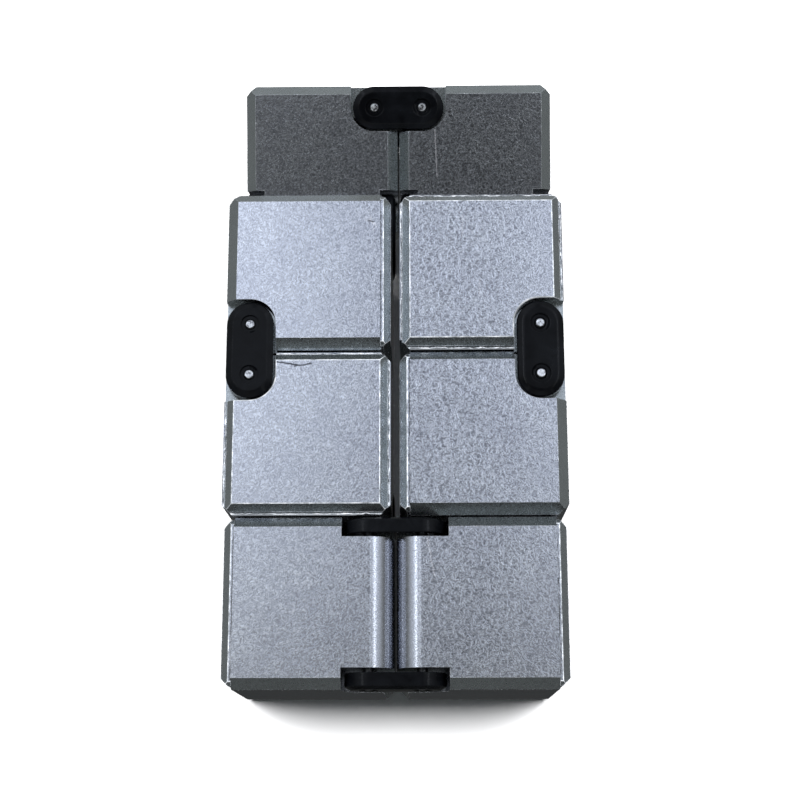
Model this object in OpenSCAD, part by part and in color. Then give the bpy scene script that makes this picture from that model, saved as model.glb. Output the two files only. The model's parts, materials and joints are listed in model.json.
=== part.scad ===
// Eight-block folding fidget cube. Eight hollow metal blocks are joined in a
// ring by eight black links. Every link is two plates and two rivet pins, so
// every fold is a double pivot. Shown as a two by two slab with the front pair
// of blocks laid out flat and the rear pair swung down as a leg, leaning on a
// table. Units are millimetres, Z is up, the front faces -Y.

/* [Blocks] */
// Block pitch, half the side of the folded-up cube
pitch = 20; // [18:0.5:24]
// Gap between neighbouring blocks
gap = 0.25; // [0.2:0.05:0.4]
// Width of the bevel on the block edges
bevel = 1.25; // [0.8:0.05:1.5]
// Wall thickness of the hollow blocks
wall = 1.8; // [1.4:0.1:2.2]
// How far the left and right middle blocks stand out sideways
mid_spread = 0.4; // [0:0.05:0.4]
// How far the rear pair sits to the right
rear_shift = 0.25; // [-0.2:0.05:0.45]

/* [Cover] */
// Step from the block side in to the cover
cover_inset = 0.37; // [0.3:0.01:0.5]
// Width of the raised lip round the shell's rim
lip_w = 0.25; // [0.15:0.01:0.28]
// Height of the raised lip
lip_h = 0.12; // [0.05:0.01:0.2]
// Depth of the plug that holds the cover in the shell
plug_depth = 1.2; // [0.8:0.1:2]

/* [Links] */
// Distance from the pitch planes to a pin axis
pin_inset = 3.1; // [2.9:0.05:3.4]
// Width of a link plate
plate_w = 5.6; // [5:0.1:5.6]
// Thickness of a link plate
plate_t = 1.9; // [1.5:0.1:1.9]
// Width of the sloping rim on the outside of a plate
plate_rim = 0.75; // [0.4:0.05:0.9]
// Drop of the sloping rim
plate_rim_drop = 0.35; // [0.2:0.05:0.6]
// Depth of the pockets that take the plates
pocket_depth = 2.4; // [2.4:0.1:2.8]
// Diameter of the rivet pins
pin_d = 1.25; // [1:0.05:1.5]
// Diameter of the sunk ring round a pin end
sink_d = 2.2; // [1.9:0.1:2.6]
// Depth of the sunk ring
sink_depth = 0.25; // [0.1:0.05:0.4]
// Running clearance between a pin and its block, on the radius
pin_play = 0.05; // [0.03:0.01:0.1]

/* [Pose] */
// Angle of the rear pair below the middle slab, about its own pins
rear_tilt = 16; // [12:1:28]

/* [Hidden] */
$fn = 96;
e = 1;                              // overshoot of cutting tools
half = (pitch - gap) / 2;           // half the side of one block
pin_in = pin_inset - gap / 2;       // block face to pin axis, also the edge rounding
pin_pitch = 2 * pin_inset;          // between the two pins of a link
pocket_r = plate_w / 2 + 0.3;       // round end of a pocket
guard = pin_in + pocket_r + 1.2;    // solid metal kept behind a hinge edge
c1 = pitch / 2;                     // pitch plane to block centre
arm = c1 - pin_inset;               // pin axis to block centre
seam_z = half - bevel;              // joint between shell and cover

metal = [0.66, 0.68, 0.72];
cover_metal = [0.70, 0.72, 0.76];
black = [0.05, 0.05, 0.055];
steel = [0.80, 0.80, 0.80];

// Pins of the rear and front folds, in the slab's own frame (Y, Z)
mid_pin_y = pitch - pin_inset;
mid_pin_z = -pitch + pin_inset;
out_pin_y = pitch + pin_inset;

// Lean of the slab: line from the front bottom edge to the rear pair's
// lowest edge
leg_y = out_pin_y + (bevel - pin_in) * cos(rear_tilt) + (2 * half - pin_in) * sin(rear_tilt);
leg_z = mid_pin_z + (bevel - pin_in) * sin(rear_tilt) - (2 * half - pin_in) * cos(rear_tilt);
toe_y = -2 * pitch + gap / 2 + bevel;
toe_z = -pitch + gap / 2;
lean = atan2(toe_z - leg_z, leg_y - toe_y);
// front and back ends are the link plates, which stand proud of the bevels
floor_z = toe_y * sin(lean) + toe_z * cos(lean);
front_y = (-2 * pitch + gap / 2) * cos(lean) + (pin_inset - plate_w / 2 + plate_rim) * sin(lean);
back_y = out_pin_y * cos(lean) - mid_pin_z * sin(lean)
    + (2 * half - 2 * pin_in + plate_w / 2) * cos(rear_tilt + lean)
    + (2 * half - pin_in - plate_rim_drop) * sin(rear_tilt + lean);
mid_y = (front_y + back_y) / 2;

// From the slab's own frame to the table: lean, and set down on Z = 0
module stand()
    translate([0, -mid_y, -floor_z]) rotate([lean, 0, 0]) children();

// ---- one block, centred on the origin -------------------------------------
// Hinge edge A runs along Z at (+x, -y), hinge edge B along X at (+y, -z).

// 45 degree tool for an edge along Z
module bevel_tool()
    rotate([0, 0, 45]) cube([bevel * sqrt(2), bevel * sqrt(2), 2 * half + 2 * e], center = true);

// Tool that rounds hinge edge A about its pin axis
module round_tool()
    difference() {
        translate([half - pin_in, -half - e, -half - e])
            cube([pin_in + e, pin_in + e, 2 * half + 2 * e]);
        translate([half - pin_in, -half + pin_in, -half - 2 * e])
            cylinder(r = pin_in, h = 2 * half + 4 * e);
    }

// Pocket for a link plate at the +Z end of hinge edge A
module pocket_tool()
    translate([half - pin_in, -half + pin_in, half - pocket_depth]) {
        cylinder(r = pocket_r, h = pocket_depth + e);
        translate([0, -pin_in - e, 0])
            cube([pin_in + e, pin_in + e + pocket_r, pocket_depth + e]);
        translate([-pocket_r, -pin_in - e, 0])
            cube([pocket_r + pin_in + e, pin_in + e, pocket_depth + e]);
    }

// Bore for the pin of hinge edge A
module bore_tool()
    translate([half - pin_in, -half + pin_in, -half - e])
        cylinder(d = pin_d + 2 * pin_play, h = 2 * half + 2 * e);

// Hinge edge A onto hinge edge B and back
module swap_ab() rotate(a = 180, v = [1, 0, -1]) children();

// Solid block with its bevels and its two rounded hinge edges
module block_blank()
    difference() {
        cube(2 * half, center = true);
        for (p = [[1, 1], [-1, 1], [-1, -1]])
            translate([p[0] * half, p[1] * half, 0]) bevel_tool();
        for (p = [[1, 1], [-1, 1], [-1, -1]])
            translate([0, p[0] * half, p[1] * half]) rotate([0, 90, 0]) bevel_tool();
        for (p = [[1, 1], [-1, 1], [-1, -1], [1, -1]])
            translate([p[0] * half, 0, p[1] * half]) rotate([90, 0, 0]) bevel_tool();
        round_tool();
        swap_ab() round_tool();
    }

// Hollow inside, open towards the cover
module cavity(top)
    difference() {
        translate([-half + wall, -half + wall, -half + wall])
            cube([2 * (half - wall), 2 * (half - wall), half - wall + top]);
        translate([half - guard, -half, -half]) cube([guard, guard, 2 * half]);
        swap_ab() translate([half - guard, -half, -half]) cube([guard, guard, 2 * half]);
    }

// Shell: everything below the seam, with a thin raised lip at its rim
module block_shell()
    difference() {
        block_blank();
        translate([-half + lip_w, -half + lip_w, seam_z])
            cube([2 * (half - lip_w), 2 * (half - lip_w), bevel + e]);
        translate([-half - e, -half - e, seam_z + lip_h])
            cube([2 * half + 2 * e, 2 * half + 2 * e, bevel + e]);
        cavity(seam_z + e);
        pocket_tool();
        mirror([0, 0, 1]) pocket_tool();
        swap_ab() pocket_tool();
        swap_ab() mirror([0, 0, 1]) pocket_tool();
        bore_tool();
        swap_ab() bore_tool();
    }

// Cover: the bevelled face above the seam, with a plug that fits the shell
module block_cover()
    difference() {
        union() {
            intersection() {
                block_blank();
                translate([-half + cover_inset, -half + cover_inset, seam_z])
                    cube([2 * (half - cover_inset), 2 * (half - cover_inset), bevel + e]);
            }
            difference() {
                translate([-half + wall, -half + wall, seam_z - plug_depth])
                    cube([2 * (half - wall), 2 * (half - wall), plug_depth + 0.1]);
                translate([half - guard, -half, -half]) cube([guard, guard, 2 * half]);
            }
        }
        pocket_tool();
    }

// ---- one link, pins along Z, centred on the origin ------------------------

// Plate at the +Z end (s = 1) or the -Z end (s = -1)
module link_plate(s)
    mirror([0, 0, s < 0 ? 1 : 0]) translate([0, 0, half - plate_t])
    difference() {
        union() {
            for (x = [-pin_inset, pin_inset]) translate([x, 0, 0]) {
                cylinder(d = plate_w, h = plate_t - plate_rim_drop);
                translate([0, 0, plate_t - plate_rim_drop])
                    cylinder(d1 = plate_w, d2 = plate_w - 2 * plate_rim, h = plate_rim_drop);
            }
            translate([-pin_inset, 0, 0]) rotate([90, 0, 90])
                linear_extrude(height = pin_pitch) polygon([
                    [-plate_w / 2, 0], [plate_w / 2, 0],
                    [plate_w / 2, plate_t - plate_rim_drop],
                    [plate_w / 2 - plate_rim, plate_t],
                    [-plate_w / 2 + plate_rim, plate_t],
                    [-plate_w / 2, plate_t - plate_rim_drop]]);
        }
        for (x = [-pin_inset, pin_inset]) translate([x, 0, 0]) {
            translate([0, 0, -e]) cylinder(d = pin_d, h = plate_t + 2 * e);
            translate([0, 0, plate_t - sink_depth]) cylinder(d = sink_d, h = sink_depth + e);
        }
    }

// The two rivet pins, ends just below the plate faces
module link_pins()
    for (x = [-pin_inset, pin_inset]) translate([x, 0, -half + 0.05]) {
        translate([0, 0, 0.15]) cylinder(d = pin_d, h = 2 * half - 0.4);
        cylinder(d1 = pin_d - 0.3, d2 = pin_d, h = 0.15);
        translate([0, 0, 2 * half - 0.25]) cylinder(d1 = pin_d, d2 = pin_d - 0.3, h = 0.15);
    }

// ---- where every block sits in the slab's frame ---------------------------
module rear_pair() // about the rear pins
    translate([rear_shift, out_pin_y, mid_pin_z]) rotate([rear_tilt, 0, 0]) children();

module at_rear_left() rear_pair() translate([-c1, arm, -arm]) rotate([180, 0, 0]) children();
module at_rear_right() rear_pair() translate([c1, arm, -arm]) rotate([180, 0, 0]) mirror([1, 0, 0]) children();
module at_mid_back_left() translate([-c1 - mid_spread, c1, -c1]) mirror([1, 0, 0]) swap_ab() children();
module at_mid_back_right() translate([c1 + mid_spread, c1, -c1]) children();
module at_mid_front_left() translate([-c1 - mid_spread, -c1, -c1]) rotate([0, 0, 180]) children();
module at_mid_front_right() translate([c1 + mid_spread, -c1, -c1]) rotate([0, 0, 180]) mirror([1, 0, 0]) swap_ab() children();
module at_front_left() translate([-c1, -pitch - c1, -c1]) mirror([1, 0, 0]) rotate(a = 120, v = [1, 1, 1]) children();
module at_front_right() translate([c1, -pitch - c1, -c1]) rotate(a = 120, v = [1, 1, 1]) children();

// ---- and every link --------------------------------------------------------
module at_rear_bridge() rear_pair() translate([0, pitch - pin_inset - pin_inset, -arm]) children();
module at_rear_left_link() translate([-c1 + (rear_shift - mid_spread) / 2, pitch, mid_pin_z]) rotate([90, 0, 0]) rotate([0, 90, 0]) children();
module at_rear_right_link() translate([c1 + (rear_shift + mid_spread) / 2, pitch, mid_pin_z]) rotate([90, 0, 0]) rotate([0, 90, 0]) children();
module at_mid_left_link() translate([-pitch - mid_spread + pin_inset, 0, -c1]) rotate([0, 0, 90]) children();
module at_mid_right_link() translate([pitch + mid_spread - pin_inset, 0, -c1]) rotate([0, 0, 90]) children();
module at_front_left_link() translate([-c1 - mid_spread / 2, -pitch, mid_pin_z]) rotate([-90, 0, 0]) rotate([0, 90, 0]) children();
module at_front_right_link() translate([c1 + mid_spread / 2, -pitch, mid_pin_z]) rotate([-90, 0, 0]) rotate([0, 90, 0]) children();
module at_front_bridge() translate([0, -pitch - c1, -pin_inset]) rotate([-90, 0, 0]) children();

// ---- the pieces -------------------------------------------------------------

// Rear left block: hollow shell
module rear_left_shell() color(metal) stand() at_rear_left() block_shell();
// Rear left block: pressed-in cover
module rear_left_cover() color(cover_metal) stand() at_rear_left() block_cover();

// Rear right block: hollow shell
module rear_right_shell() color(metal) stand() at_rear_right() block_shell();
// Rear right block: pressed-in cover
module rear_right_cover() color(cover_metal) stand() at_rear_right() block_cover();

// Middle block, back left: hollow shell
module mid_back_left_shell() color(metal) stand() at_mid_back_left() block_shell();
// Middle block, back left: pressed-in cover
module mid_back_left_cover() color(cover_metal) stand() at_mid_back_left() block_cover();

// Middle block, back right: hollow shell
module mid_back_right_shell() color(metal) stand() at_mid_back_right() block_shell();
// Middle block, back right: pressed-in cover
module mid_back_right_cover() color(cover_metal) stand() at_mid_back_right() block_cover();

// Middle block, front left: hollow shell
module mid_front_left_shell() color(metal) stand() at_mid_front_left() block_shell();
// Middle block, front left: pressed-in cover
module mid_front_left_cover() color(cover_metal) stand() at_mid_front_left() block_cover();

// Middle block, front right: hollow shell
module mid_front_right_shell() color(metal) stand() at_mid_front_right() block_shell();
// Middle block, front right: pressed-in cover
module mid_front_right_cover() color(cover_metal) stand() at_mid_front_right() block_cover();

// Front left block: hollow shell
module front_left_shell() color(metal) stand() at_front_left() block_shell();
// Front left block: pressed-in cover
module front_left_cover() color(cover_metal) stand() at_front_left() block_cover();

// Front right block: hollow shell
module front_right_shell() color(metal) stand() at_front_right() block_shell();
// Front right block: pressed-in cover
module front_right_cover() color(cover_metal) stand() at_front_right() block_cover();

// Link joining the two rear blocks: top plate
module rear_bridge_top() color(black) stand() at_rear_bridge() link_plate(1);
// Link joining the two rear blocks: bottom plate
module rear_bridge_bottom() color(black) stand() at_rear_bridge() link_plate(-1);
// Link joining the two rear blocks: its two rivet pins
module rear_bridge_pins() color(steel) stand() at_rear_bridge() link_pins();

// Link from the rear left block to the middle: inner plate
module rear_left_link_inner() color(black) stand() at_rear_left_link() link_plate(1);
// Link from the rear left block to the middle: outer plate
module rear_left_link_outer() color(black) stand() at_rear_left_link() link_plate(-1);
// Link from the rear left block to the middle: its two rivet pins
module rear_left_link_pins() color(steel) stand() at_rear_left_link() link_pins();

// Link from the rear right block to the middle: outer plate
module rear_right_link_outer() color(black) stand() at_rear_right_link() link_plate(1);
// Link from the rear right block to the middle: inner plate
module rear_right_link_inner() color(black) stand() at_rear_right_link() link_plate(-1);
// Link from the rear right block to the middle: its two rivet pins
module rear_right_link_pins() color(steel) stand() at_rear_right_link() link_pins();

// Link joining the two left middle blocks: top plate
module mid_left_link_top() color(black) stand() at_mid_left_link() link_plate(1);
// Link joining the two left middle blocks: bottom plate
module mid_left_link_bottom() color(black) stand() at_mid_left_link() link_plate(-1);
// Link joining the two left middle blocks: its two rivet pins
module mid_left_link_pins() color(steel) stand() at_mid_left_link() link_pins();

// Link joining the two right middle blocks: top plate
module mid_right_link_top() color(black) stand() at_mid_right_link() link_plate(1);
// Link joining the two right middle blocks: bottom plate
module mid_right_link_bottom() color(black) stand() at_mid_right_link() link_plate(-1);
// Link joining the two right middle blocks: its two rivet pins
module mid_right_link_pins() color(steel) stand() at_mid_right_link() link_pins();

// Link from the front left block to the middle: inner plate
module front_left_link_inner() color(black) stand() at_front_left_link() link_plate(1);
// Link from the front left block to the middle: outer plate
module front_left_link_outer() color(black) stand() at_front_left_link() link_plate(-1);
// Link from the front left block to the middle: its two rivet pins
module front_left_link_pins() color(steel) stand() at_front_left_link() link_pins();

// Link from the front right block to the middle: outer plate
module front_right_link_outer() color(black) stand() at_front_right_link() link_plate(1);
// Link from the front right block to the middle: inner plate
module front_right_link_inner() color(black) stand() at_front_right_link() link_plate(-1);
// Link from the front right block to the middle: its two rivet pins
module front_right_link_pins() color(steel) stand() at_front_right_link() link_pins();

// Link joining the two front blocks: back plate
module front_bridge_back() color(black) stand() at_front_bridge() link_plate(1);
// Link joining the two front blocks: front plate
module front_bridge_front() color(black) stand() at_front_bridge() link_plate(-1);
// Link joining the two front blocks: its two rivet pins
module front_bridge_pins() color(steel) stand() at_front_bridge() link_pins();

rear_left_shell();
rear_left_cover();
rear_right_shell();
rear_right_cover();
mid_back_left_shell();
mid_back_left_cover();
mid_back_right_shell();
mid_back_right_cover();
mid_front_left_shell();
mid_front_left_cover();
mid_front_right_shell();
mid_front_right_cover();
front_left_shell();
front_left_cover();
front_right_shell();
front_right_cover();
rear_bridge_top();
rear_bridge_bottom();
rear_bridge_pins();
rear_left_link_inner();
rear_left_link_outer();
rear_left_link_pins();
rear_right_link_outer();
rear_right_link_inner();
rear_right_link_pins();
mid_left_link_top();
mid_left_link_bottom();
mid_left_link_pins();
mid_right_link_top();
mid_right_link_bottom();
mid_right_link_pins();
front_left_link_inner();
front_left_link_outer();
front_left_link_pins();
front_right_link_outer();
front_right_link_inner();
front_right_link_pins();
front_bridge_back();
front_bridge_front();
front_bridge_pins();
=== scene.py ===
import json
import math

import bmesh
import bpy
from mathutils import Matrix, Vector, noise


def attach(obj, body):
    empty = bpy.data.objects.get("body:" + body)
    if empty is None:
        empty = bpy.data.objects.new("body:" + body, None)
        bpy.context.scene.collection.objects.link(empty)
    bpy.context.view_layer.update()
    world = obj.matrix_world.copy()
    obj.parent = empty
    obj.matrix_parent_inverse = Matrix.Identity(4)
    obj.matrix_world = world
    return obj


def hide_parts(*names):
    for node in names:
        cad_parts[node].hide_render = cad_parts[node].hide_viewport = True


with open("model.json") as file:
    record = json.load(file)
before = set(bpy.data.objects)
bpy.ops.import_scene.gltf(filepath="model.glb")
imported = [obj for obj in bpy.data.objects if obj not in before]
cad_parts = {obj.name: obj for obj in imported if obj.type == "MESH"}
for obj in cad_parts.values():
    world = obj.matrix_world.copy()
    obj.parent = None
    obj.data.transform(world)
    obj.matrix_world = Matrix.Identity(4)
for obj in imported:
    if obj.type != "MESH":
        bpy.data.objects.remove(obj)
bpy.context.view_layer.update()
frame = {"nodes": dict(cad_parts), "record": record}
NODES = frame["nodes"]
BODY = {n: b for b, ns in frame["record"]["behaviour"]["bodies"].items() for n in ns}
MM = 0.001


# ---------------------------------------------------------------- materials
def new_material(name):
    m = bpy.data.materials.new(name)
    m.use_nodes = True
    nt = m.node_tree
    nt.nodes.clear()
    out = nt.nodes.new("ShaderNodeOutputMaterial")
    bsdf = nt.nodes.new("ShaderNodeBsdfPrincipled")
    nt.links.new(bsdf.outputs["BSDF"], out.inputs["Surface"])
    coord = nt.nodes.new("ShaderNodeTexCoord")
    return m, nt, bsdf, coord.outputs["Object"]


def noise_node(nt, coord, scale, detail=2.0, rough=0.5, distortion=0.0, stretch=None):
    n = nt.nodes.new("ShaderNodeTexNoise")
    n.inputs["Scale"].default_value = scale
    n.inputs["Detail"].default_value = detail
    n.inputs["Roughness"].default_value = rough
    n.inputs["Distortion"].default_value = distortion
    if stretch:
        mp = nt.nodes.new("ShaderNodeMapping")
        mp.inputs["Scale"].default_value = stretch
        nt.links.new(coord, mp.inputs["Vector"])
        coord = mp.outputs["Vector"]
    nt.links.new(coord, n.inputs["Vector"])
    return n.outputs["Fac"]


def ramp(nt, fac, stops):
    r = nt.nodes.new("ShaderNodeValToRGB")
    el = r.color_ramp.elements
    while len(el) < len(stops):
        el.new(0.5)
    for e, (pos, col) in zip(el, stops):
        e.position = pos
        e.color = (*col, 1) if len(col) == 3 else col
    nt.links.new(fac, r.inputs["Fac"])
    return r.outputs["Color"]


def mixed(nt, fac, a, b, mode="MIX"):
    m = nt.nodes.new("ShaderNodeMix")
    m.data_type = "RGBA"
    m.blend_type = mode
    for sock, v in ((m.inputs[0], fac), (m.inputs[6], a), (m.inputs[7], b)):
        if isinstance(v, (int, float)):
            sock.default_value = v
        elif isinstance(v, tuple):
            sock.default_value = (*v, 1)
        else:
            nt.links.new(v, sock)
    return m.outputs[2]


def remap(nt, fac, a, b, lo, hi):
    m = nt.nodes.new("ShaderNodeMapRange")
    m.inputs["From Min"].default_value = a
    m.inputs["From Max"].default_value = b
    m.inputs["To Min"].default_value = lo
    m.inputs["To Max"].default_value = hi
    nt.links.new(fac, m.inputs["Value"])
    return m.outputs["Result"]


def bump(nt, bsdf, height, strength, distance):
    b = nt.nodes.new("ShaderNodeBump")
    b.inputs["Strength"].default_value = strength
    b.inputs["Distance"].default_value = distance
    nt.links.new(height, b.inputs["Height"])
    nt.links.new(b.outputs["Normal"], bsdf.inputs["Normal"])
    return b


def segment(nt, co, p, q, width, wobble=0.0, scale=1500):
    """1 on a line from p to q (mm), fading to 0 at its width (mm); wobble bends it."""
    def vec(kind, u, v=None):
        n = nt.nodes.new("ShaderNodeVectorMath")
        n.operation = kind
        for i, w in enumerate((u, v)):
            if isinstance(w, (tuple, Vector)):
                n.inputs[i].default_value = tuple(w)
            elif w is not None:
                nt.links.new(w, n.inputs[i])
        return n

    def num(kind, u, v):
        n = nt.nodes.new("ShaderNodeMath")
        n.operation = kind
        for i, w in enumerate((u, v)):
            if isinstance(w, (int, float)):
                n.inputs[i].default_value = w
            else:
                nt.links.new(w, n.inputs[i])
        return n.outputs[0]

    p, q = Vector(p) * MM, Vector(q) * MM
    d = q - p
    if wobble:
        n = nt.nodes.new("ShaderNodeTexNoise")
        n.inputs["Scale"].default_value = scale
        n.inputs["Detail"].default_value = 1.0
        nt.links.new(co, n.inputs["Vector"])
        off = vec("SUBTRACT", n.outputs["Color"], (0.5, 0.5, 0.5)).outputs[0]
        sc = vec("SCALE", off)
        sc.inputs[3].default_value = wobble * MM
        co = vec("ADD", co, sc.outputs[0]).outputs[0]
    rel = vec("SUBTRACT", co, p).outputs[0]
    t = num("DIVIDE", vec("DOT_PRODUCT", rel, d).outputs[1], d.length_squared)
    t = num("MINIMUM", num("MAXIMUM", t, 0.0), 1.0)
    foot = vec("SCALE", d)
    foot.inputs[0].default_value = tuple(d)
    nt.links.new(t, foot.inputs[3])
    dist = vec("LENGTH", vec("SUBTRACT", rel, foot.outputs[0]).outputs[0]).outputs[1]
    return remap(nt, dist, width * MM * 0.4, width * MM, 1.0, 0.0)


def metal(name, tint, grain, rough, relief, marks=()):
    """Blasted light alloy: fine worm-like grain in tone and relief, soft cloudy wear on a
    larger scale. marks are (p, q, width, wobble, bright) scratches in mm."""
    m, nt, bsdf, co = new_material(name)
    worm = noise_node(nt, co, 1450, 1.0, 0.5, 0.6)
    fine = noise_node(nt, co, 4200, 2.0, 0.55, 0.6)
    cloud = noise_node(nt, co, 170, 4.0, 0.6)
    lo = tuple(c * (1 - grain) for c in tint)
    hi = tuple(min(1.0, c * (1 + grain)) for c in tint)
    curl = ramp(nt, worm, [(0.35, (0.35,) * 3), (0.42, (0.95,) * 3), (0.48, (0.20,) * 3), (0.535, (0.90,) * 3),
                           (0.60, (0.10,) * 3), (0.67, (0.75,) * 3)])
    mix = mixed(nt, 0.32, curl, ramp(nt, fine, [(0.32, (0.0,) * 3), (0.68, (1.0,) * 3)]))
    base = mixed(nt, mix, lo, hi)
    base = mixed(nt, remap(nt, cloud, 0.35, 0.72, 0.0, 0.30), base, tuple(c * 0.72 for c in tint))
    bsdf.inputs["Metallic"].default_value = 1.0
    shine = None
    for p, q, width, wobble, bright in marks:
        k = segment(nt, co, p, q, width, wobble)
        if bright:
            k = remap(nt, k, 0.0, 1.0, 0.0, 0.40)
        base = mixed(nt, k, base, (0.82, 0.82, 0.86) if bright else (0.10, 0.105, 0.12))
        if bright:
            shine = k if shine is None else mixed(nt, k, shine, (1.0, 1.0, 1.0))
    if shine is not None:
        nt.links.new(remap(nt, shine, 0.0, 1.0, 1.0, 0.84), bsdf.inputs["Metallic"])
    nt.links.new(base, bsdf.inputs["Base Color"])
    nt.links.new(remap(nt, fine, 0.3, 0.7, rough - 0.05, rough + 0.07), bsdf.inputs["Roughness"])
    bump(nt, bsdf, mix, relief, 0.00004)
    return m


ALLOY = (0.60, 0.620, 0.728)
FACE = metal("blasted_face", ALLOY, 0.52, 0.17, 0.18)
SIDE = metal("satin_bevel", (0.50, 0.535, 0.55), 0.07, 0.26, 0.05)
# rounded hinge edges: polished and without grain, with a tint darker than the alloy as painted shade that dims their
# reflections
ROUND = metal("polished_round_shaded", (0.47, 0.485, 0.53), 0.14, 0.24, 0.06)
# the two dark marks are painted shade of a dent in the front left block's rounded edge
ROUND_DENTED = metal("polished_round_shaded_dented", (0.47, 0.485, 0.53), 0.14, 0.24, 0.06, [
    ((-1.75, -40.6, 19.6), (-0.95, -41.3, 19.3), 0.13, 0.7, False),
    ((-1.6, -41.3, 19.45), (-0.9, -40.7, 19.3), 0.10, 0.7, False)])
SCRATCHED = {
    "rear_right_shell": metal("blasted_face_rear_right", ALLOY, 0.52, 0.17, 0.18, [
        ((5.02, 29.5, 23.36), (5.27, 24.16, 20.53), 0.12, 0.10, True)]),
    "mid_front_left_cover": metal("blasted_face_mid_front_left", ALLOY, 0.52, 0.17, 0.18, [
        ((-14.0, -6.35, 26.95), (-11.6, -6.75, 26.87), 0.15, 0.30, False),
        ((-11.9, -6.9, 26.84), (-9.9, -6.6, 26.9), 0.13, 0.30, False)]),
    "mid_back_left_shell": metal("blasted_face_mid_back_left", ALLOY, 0.52, 0.17, 0.18, [
        ((-3.6, 11.4, 30.7), (-2.3, 10.3, 30.47), 0.22, 0.9, True),
        ((-2.9, 11.7, 30.77), (-2.6, 9.6, 30.3), 0.16, 0.8, True),
        ((-3.1, 10.9, 30.6), (-2.4, 10.8, 30.57), 0.12, 0.5, False)]),
    "front_right_shell": metal("blasted_face_front_right", ALLOY, 0.52, 0.17, 0.18, [
        ((3.68, -27.0, 22.61), (4.55, -31.4, 21.68), 0.13, 0.35, True)]),
    # the dark mark is painted shade of the same dent, where it runs onto the face
    "front_left_shell": metal("blasted_face_front_left", ALLOY, 0.52, 0.17, 0.18, [
        ((-1.45, -40.8, 19.6), (-0.95, -41.3, 19.5), 0.13, 0.5, False)]),
    "mid_back_right_cover": metal("blasted_face_mid_back_right", ALLOY, 0.52, 0.17, 0.18, [
        ((8.25, 11.6, 30.75), (8.12, 8.9, 30.17), 0.10, 0.15, True),
        ((10.2, 3.6, 29.05), (10.05, 1.5, 28.61), 0.10, 0.15, True)]),
}


def worn_metal(name, metallic):
    """Rubbed edges: paler, scattering in all directions, broken up along their length."""
    m, nt, bsdf, co = new_material(name)
    n = noise_node(nt, co, 900, 3.0, 0.6)
    base = ramp(nt, n, [(0.34, (0.22, 0.235, 0.25)), (0.5, (0.50, 0.53, 0.57)), (0.66, (0.86, 0.88, 0.92))])
    nt.links.new(base, bsdf.inputs["Base Color"])
    bsdf.inputs["Metallic"].default_value = metallic
    nt.links.new(remap(nt, n, 0.3, 0.7, 0.42, 0.28), bsdf.inputs["Roughness"])
    bump(nt, bsdf, n, 0.15, 0.00004)
    return m


WORN = worn_metal("worn_edge", 0.58)
RIM = worn_metal("chipped_rim", 0.45)
RIM_DULL = worn_metal("dull_rim", 0.80)


def black_plastic():
    """Moulded black link plates: semi-gloss, faint mould texture and hazy rub marks."""
    m, nt, bsdf, co = new_material("black_link")
    n = noise_node(nt, co, 1500, 3.0, 0.5)
    rub = noise_node(nt, co, 260, 4.0, 0.6, 1.0)
    base = ramp(nt, rub, [(0.35, (0.0008, 0.0009, 0.0012)), (0.7, (0.0024, 0.0028, 0.0036))])
    nt.links.new(base, bsdf.inputs["Base Color"])
    nt.links.new(remap(nt, rub, 0.35, 0.7, 0.13, 0.26), bsdf.inputs["Roughness"])
    bsdf.inputs["IOR"].default_value = 1.5
    bsdf.inputs["Specular IOR Level"].default_value = 0.10
    bump(nt, bsdf, n, 0.08, 0.00003)
    return m


BLACK = black_plastic()


def pin_steel():
    m, nt, bsdf, co = new_material("rivet_steel")
    n = noise_node(nt, co, 2500, 2.0, 0.5)
    base = ramp(nt, n, [(0.38, (0.22, 0.22, 0.23)), (0.52, (0.66, 0.67, 0.69)), (0.66, (0.90, 0.91, 0.93))])
    nt.links.new(base, bsdf.inputs["Base Color"])
    bsdf.inputs["Metallic"].default_value = 1.0
    nt.links.new(remap(nt, n, 0.3, 0.7, 0.22, 0.4), bsdf.inputs["Roughness"])
    bump(nt, bsdf, n, 0.45, 0.00008)
    return m


STEEL = pin_steel()


def shaded_pin_shaft():
    """The pins' sides: the same steel, given a near-black colour as painted shade where they sit in the narrow gaps
    between plates and blocks.
    """
    m, nt, bsdf, co = new_material("steel_painted_shade")
    n = noise_node(nt, co, 900, 3.0, 0.6, stretch=(1.0, 1.0, 0.4))
    # near-black base colour: painted shade of the narrow gaps round the pins
    base = ramp(nt, n, [(0.35, (0.035, 0.036, 0.04)), (0.65, (0.13, 0.132, 0.14))])
    nt.links.new(base, bsdf.inputs["Base Color"])
    bsdf.inputs["Metallic"].default_value = 1.0
    nt.links.new(remap(nt, n, 0.3, 0.7, 0.28, 0.48), bsdf.inputs["Roughness"])
    bump(nt, bsdf, n, 0.1, 0.00002)
    return m


SHADED_SHAFT = shaded_pin_shaft()


# ------------------------------------------------------------------- pieces
def main_axes(bm):
    """The block's own three directions, found from the areas that face them."""
    groups = {}
    for f in bm.faces:
        n = f.normal if (f.normal.z > 1e-3 or (abs(f.normal.z) <= 1e-3 and f.normal.y > 0)) else -f.normal
        key = tuple(round(c, 2) for c in n)
        groups[key] = groups.get(key, Vector()) + n * f.calc_area()
    axes = []
    for key, v in sorted(groups.items(), key=lambda kv: (-round(kv[1].length * 1e10), kv[0])):
        v = v.normalized()
        if all(abs(v.dot(a)) < 0.05 for a in axes):
            axes.append(v)
        if len(axes) == 3:
            break
    return axes


def clean_copy(node):
    bm = bmesh.new()
    bm.from_mesh(NODES[node].data)
    bmesh.ops.remove_doubles(bm, verts=bm.verts, dist=2e-6)
    bmesh.ops.dissolve_limit(
        bm, angle_limit=math.radians(0.6), verts=bm.verts[:], edges=bm.edges[:], delimit=set())
    bm.normal_update()
    return bm


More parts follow.
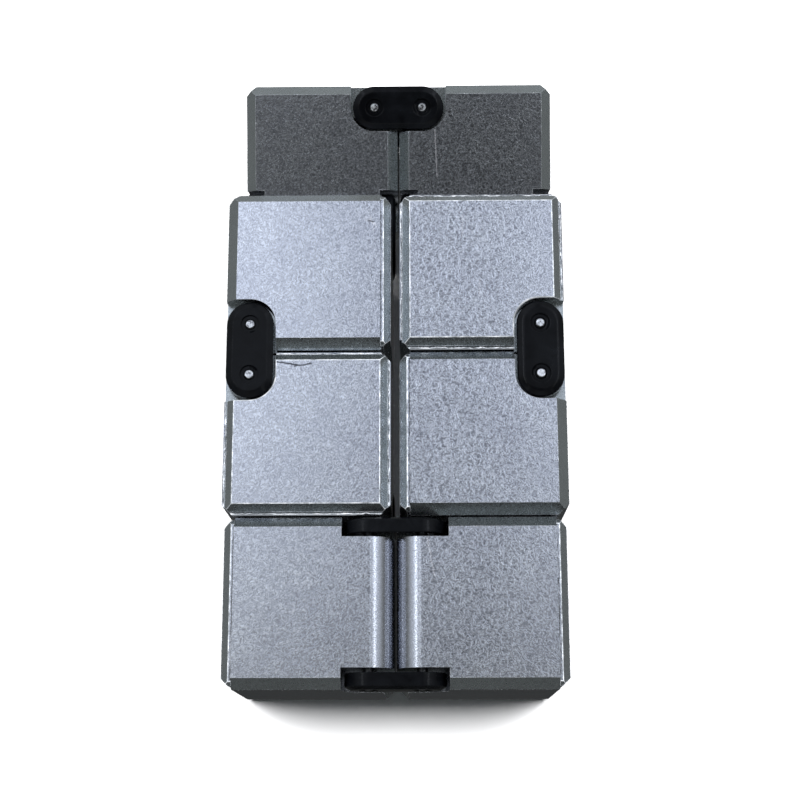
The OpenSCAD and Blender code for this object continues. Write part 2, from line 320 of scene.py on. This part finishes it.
def edge_weights(me, bm, angle, weight):
    """Only outward corners are broken; each one as wide as weight() says."""
    lay = bm.edges.layers.float.get("bevel_weight_edge") or bm.edges.layers.float.new("bevel_weight_edge")
    for e in bm.edges:
        w = 0.0
        if len(e.link_faces) == 2 and e.calc_face_angle_signed(0.0) > math.radians(angle):
            w = weight(e)
        e[lay] = w


def finish_piece(node, bm, mats, bevel, segments=2, worn=None, angle=24, weight=lambda e: 1.0):
    me = bpy.data.meshes.new(node + "_look")
    edge_weights(me, bm, angle, weight)
    bm.to_mesh(me)
    bm.free()
    for m in mats:
        me.materials.append(m)
    for p in me.polygons:
        p.use_smooth = True
    me.set_sharp_from_angle(angle=math.radians(angle))
    o = bpy.data.objects.new(node + "_look", me)
    bpy.context.scene.collection.objects.link(o)
    b = o.modifiers.new("edge", "BEVEL")
    b.width = bevel
    b.segments = segments
    b.limit_method = "WEIGHT"
    b.use_clamp_overlap = True
    if worn is not None:
        b.material = worn
    w = o.modifiers.new("normals", "WEIGHTED_NORMAL")
    w.mode = "FACE_AREA"
    w.weight = 100
    w.keep_sharp = True
    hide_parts(node)
    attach(o, BODY[node])
    return o


def span(bm, axis):
    d = [v.co.dot(axis) for v in bm.verts]
    return min(d), max(d)


def ragged_lip(bm, node, axes):
    """The shell's thin raised rim round its cover is nicked and uneven. Returns its faces."""
    axis = min(axes, key=lambda a: span(bm, a)[1] - span(bm, a)[0])
    cover = NODES[node.replace("_shell", "_cover")].data
    mid = sum(span(bm, axis)) / 2
    ahead = sum(v.co.dot(axis) for v in cover.vertices) / len(cover.vertices)
    if ahead < mid:
        axis = -axis
    top = span(bm, axis)[1]
    rim = [f for f in bm.faces if f.normal.dot(axis) > 0.99 and all(top - v.co.dot(axis) < 2e-6 for v in f.verts)]
    edges = {e for f in rim for e in f.edges}
    for e in sorted(edges, key=lambda e: e.index):
        cuts = int(e.calc_length() / (0.42 * MM))
        if cuts > 0:
            bmesh.ops.subdivide_edges(bm, edges=[e], cuts=cuts, use_grid_fill=False)
    rim = [f for f in bm.faces if f.normal.dot(axis) > 0.99 and all(top - v.co.dot(axis) < 2e-6 for v in f.verts)]
    verts = sorted({v for f in rim for v in f.verts}, key=lambda v: v.index)
    centre = sum(((f.calc_center_median() * f.calc_area()) for f in rim), Vector()) / sum(f.calc_area() for f in rim)
    for v in verts:
        k = noise.noise(v.co * 1900) * 0.6 + noise.noise(v.co * 600 + Vector((3, 1, 2))) * 0.6
        inward = (centre - v.co)
        inward -= axis * inward.dot(axis)
        v.co += inward.normalized() * (min(1.0, max(0.0, k) * 3) * 0.15 * MM) - axis * (min(1.0, max(0.0, -k) * 3) * 0.14 * MM)
    tri = bmesh.ops.triangulate(bm, faces=rim)["faces"]
    bm.normal_update()
    return set(tri)


def rub(e, seam):
    """How wide an edge is rubbed: recess mouths most, then the borders of the faces, and
    barely where a cover meets its shell, which lie square to the seam direction."""
    kinds = {f.material_index for f in e.link_faces}
    if 3 in kinds:
        return 0.0
    axis, lo, hi, reach, least = seam
    for f in e.link_faces:
        d = f.calc_center_median().dot(axis)
        if f.material_index == 1 and abs(f.normal.dot(axis)) > 0.99 and min(abs(d - lo), abs(d - hi)) < reach:
            return least
    if any(min(abs(v.co.dot(axis) - lo), abs(v.co.dot(axis) - hi)) < reach for v in e.verts) and least == 0.0 \
            and e.calc_length() < 0.6 * MM:
        return 0.0
    steep = e.calc_face_angle(0.0) > math.radians(70)
    if 0 in kinds and steep:
        return 1.0
    if 4 in kinds:
        return 0.15
    return 0.42 if 0 in kinds else 0.25


CHIPPED = ("mid_back_right_shell", "mid_front_left_shell")


def block_piece(node, slot):
    bm = clean_copy(node)
    axes = main_axes(bm)
    ends = [(a, *span(bm, a)) for a in axes]
    rim = ragged_lip(bm, node, axes) if node.endswith("_shell") else set()
    thin = min(axes, key=lambda a: span(bm, a)[1] - span(bm, a)[0])
    seam = (thin, *span(bm, thin), *((1.0, 0.25) if slot == "cover" else (0.5 * MM, 0.0)))
    for f in bm.faces:
        c = f.calc_center_median()
        flat = max(abs(f.normal.dot(a)) for a in axes) > 0.995
        outer = any(abs(f.normal.dot(a)) > 0.995 and min(abs(c.dot(a) - lo), abs(c.dot(a) - hi)) < 2e-5
                    for a, lo, hi in ends)
        slant = max(abs(f.normal.dot(a)) for a in axes) < 0.72
        f.material_index = 3 if f in rim else (0 if flat and outer else (1 if flat or slant else 4))
    mats = [SCRATCHED.get(node, FACE), SIDE, WORN, RIM if node in CHIPPED else RIM_DULL,
            ROUND_DENTED if node == "front_left_shell" else ROUND]
    width = 0.17 if slot == "cover" else (0.07 if node.startswith("rear_") else 0.12)
    finish_piece(node, bm, mats, width * MM, 2, worn=2, weight=lambda e: rub(e, seam))


def plate_piece(node):
    finish_piece(node, clean_copy(node), [BLACK], 0.16 * MM, 3)


def pin_piece(node):
    bm = clean_copy(node)
    for f in bm.faces:
        # many-sided end faces get the bright steel; the sides get the near-black steel, which is painted shade
        f.material_index = 0 if len(f.verts) > 8 else 1
    finish_piece(node, bm, [STEEL, SHADED_SHAFT], 0.05 * MM, 2)


for n in sorted(NODES):
    if n.endswith("_shell"):
        block_piece(n, "shell")
    elif n.endswith("_cover"):
        block_piece(n, "cover")
    elif n.endswith("_pins"):
        pin_piece(n)
    else:
        plate_piece(n)


# -------------------------------------------------------------------- stage
def stage():
    me = bpy.data.meshes.new("floor")
    s = 1.5
    me.from_pydata([(-s, -s, 0), (s, -s, 0), (s, s, 0), (-s, s, 0)], [], [(0, 1, 2, 3)])
    o = bpy.data.objects.new("floor", me)
    bpy.context.scene.collection.objects.link(o)
    m, nt, bsdf, co = new_material("pale_floor")
    n = noise_node(nt, co, 3.0, 2.0, 0.5)
    base = ramp(nt, n, [(0.3, (0.86, 0.86, 0.865)), (0.7, (0.88, 0.88, 0.885))])
    nt.links.new(base, bsdf.inputs["Base Color"])
    bsdf.inputs["Roughness"].default_value = 0.9
    bsdf.inputs["Specular IOR Level"].default_value = 0.1
    me.materials.append(m)
    o.visible_glossy = False


stage()


def area(name, loc, target, size, power, color=(1, 1, 1), glossy=True, size_y=None):
    d = bpy.data.lights.new(name, "AREA")
    d.shape = "RECTANGLE"
    d.size = size
    d.size_y = size_y or size
    d.energy = power
    d.color = color
    o = bpy.data.objects.new(name, d)
    o.location = loc
    o.rotation_euler = (Vector(target) - Vector(loc)).to_track_quat("-Z", "Y").to_euler()
    o.visible_camera = False
    o.visible_glossy = glossy
    bpy.context.scene.collection.objects.link(o)
    return o


# lights the floor and the matt surfaces: polished metal sees nothing of it
for side in (-1, 1):
    area("floor_fill_%s" % ("left" if side < 0 else "right"), (side * 0.62, 0.05, 1.2), (0, 0.05, 0), 0.6, 27, glossy=False)


def studio_world():
    """What the metal reflects: one soft overhead light set back behind the object and
    shaded towards the viewer's side, dim walls that are palest at the back, and two
    slim strip lights high on the left and right."""
    w = bpy.data.worlds.new("studio")
    bpy.context.scene.world = w
    w.use_nodes = True
    nt = w.node_tree
    nt.nodes.clear()

    def op(kind, a, b=None, c=None):
        n = nt.nodes.new("ShaderNodeMath")
        n.operation = kind
        for i, v in enumerate((a, b, c)):
            if v is None:
                continue
            if isinstance(v, (int, float)):
                n.inputs[i].default_value = v
            else:
                nt.links.new(v, n.inputs[i])
        return n.outputs[0]

    def step(v, a, b, lo=0.0, hi=1.0):
        n = nt.nodes.new("ShaderNodeMapRange")
        n.interpolation_type = "SMOOTHSTEP"
        n.inputs["From Min"].default_value = a
        n.inputs["From Max"].default_value = b
        n.inputs["To Min"].default_value = lo
        n.inputs["To Max"].default_value = hi
        nt.links.new(v, n.inputs["Value"])
        return n.outputs["Result"]

    def bell(v, centre, width):
        t = op("DIVIDE", op("SUBTRACT", v, centre), width)
        return op("EXPONENT", op("MULTIPLY", op("MULTIPLY", t, t), -1.0))

    def lerp(t, a, b):
        return op("ADD", op("MULTIPLY", op("SUBTRACT", 1.0, t), a), op("MULTIPLY", t, b))

    co = nt.nodes.new("ShaderNodeTexCoord")
    sep = nt.nodes.new("ShaderNodeSeparateXYZ")
    nt.links.new(co.outputs["Generated"], sep.inputs[0])
    x, y, z = sep.outputs
    over = step(y, -0.36, 0.12, UP_LOW, UP_HIGH)
    shade = op("SUBTRACT", 1.0, op("MULTIPLY", bell(x, SHADE_X, SHADE_W), SHADE_AMT))
    over = op("MULTIPLY", over, shade)
    wall = op("ADD", op("MULTIPLY", y, 0.15), 0.185)
    low = lerp(step(op("MULTIPLY", z, -1.0), 0.50, 0.76), 0.30, 0.045)
    wall = lerp(step(op("MULTIPLY", z, -1.0), 0.06, 0.34), wall, low)
    grey = lerp(step(z, 0.28, 0.86), wall, over)
    # a paler patch high on the viewer's side, seen in the blocks from behind
    front = op("MULTIPLY", step(op("MULTIPLY", y, -1.0), 0.55, 0.80), step(z, 0.20, 0.38))
    grey = op("ADD", grey, op("MULTIPLY", front, 0.50))
    strips = op("MULTIPLY", bell(op("ABSOLUTE", x), 0.47, 0.018), STRIP)
    strips = op("MULTIPLY", strips, op("MULTIPLY", step(z, 0.55, 0.75), bell(y, 0.0, 0.45)))
    grey = op("ADD", grey, strips)
    tint = nt.nodes.new("ShaderNodeMix")
    tint.data_type = "RGBA"
    nt.links.new(op("MULTIPLY", step(z, 0.3, 0.8), step(y, -0.22, 0.04)), tint.inputs[0])
    tint.inputs[6].default_value = (0.96, 1.0, 1.0, 1)
    tint.inputs[7].default_value = (0.95, 1.025, 1.16, 1)
    lit = nt.nodes.new("ShaderNodeBackground")
    nt.links.new(tint.outputs[2], lit.inputs["Color"])
    lp = nt.nodes.new("ShaderNodeLightPath")
    nt.links.new(lerp(lp.outputs["Is Diffuse Ray"], grey, op("MULTIPLY", grey, 0.15)), lit.inputs["Strength"])
    seen = nt.nodes.new("ShaderNodeBackground")
    seen.inputs["Color"].default_value = (0.93, 0.93, 0.94, 1)
    seen.inputs["Strength"].default_value = 1.0
    mx = nt.nodes.new("ShaderNodeMixShader")
    nt.links.new(lp.outputs["Is Camera Ray"], mx.inputs["Fac"])
    nt.links.new(lit.outputs[0], mx.inputs[1])
    nt.links.new(seen.outputs[0], mx.inputs[2])
    out = nt.nodes.new("ShaderNodeOutputWorld")
    nt.links.new(mx.outputs[0], out.inputs["Surface"])


UP_LOW, UP_HIGH = 0.135, 1.25
SHADE_X, SHADE_W, SHADE_AMT = 0.016, 0.07, 0.92
STRIP = 9.0
studio_world()

# ------------------------------------------------------------------- camera
cd = bpy.data.cameras.new("camera")
cd.sensor_width = 36
cd.lens = 71.718
cd.clip_start = 0.005
cam = bpy.data.objects.new("camera", cd)
cam.location = (0.003199, -0.093505, 0.194419)
cam.rotation_euler = (math.radians(26.0921), math.radians(0.8387), math.radians(0.1005))
bpy.context.scene.collection.objects.link(cam)
bpy.context.scene.camera = cam
bpy.context.scene.view_settings.view_transform = "Standard"
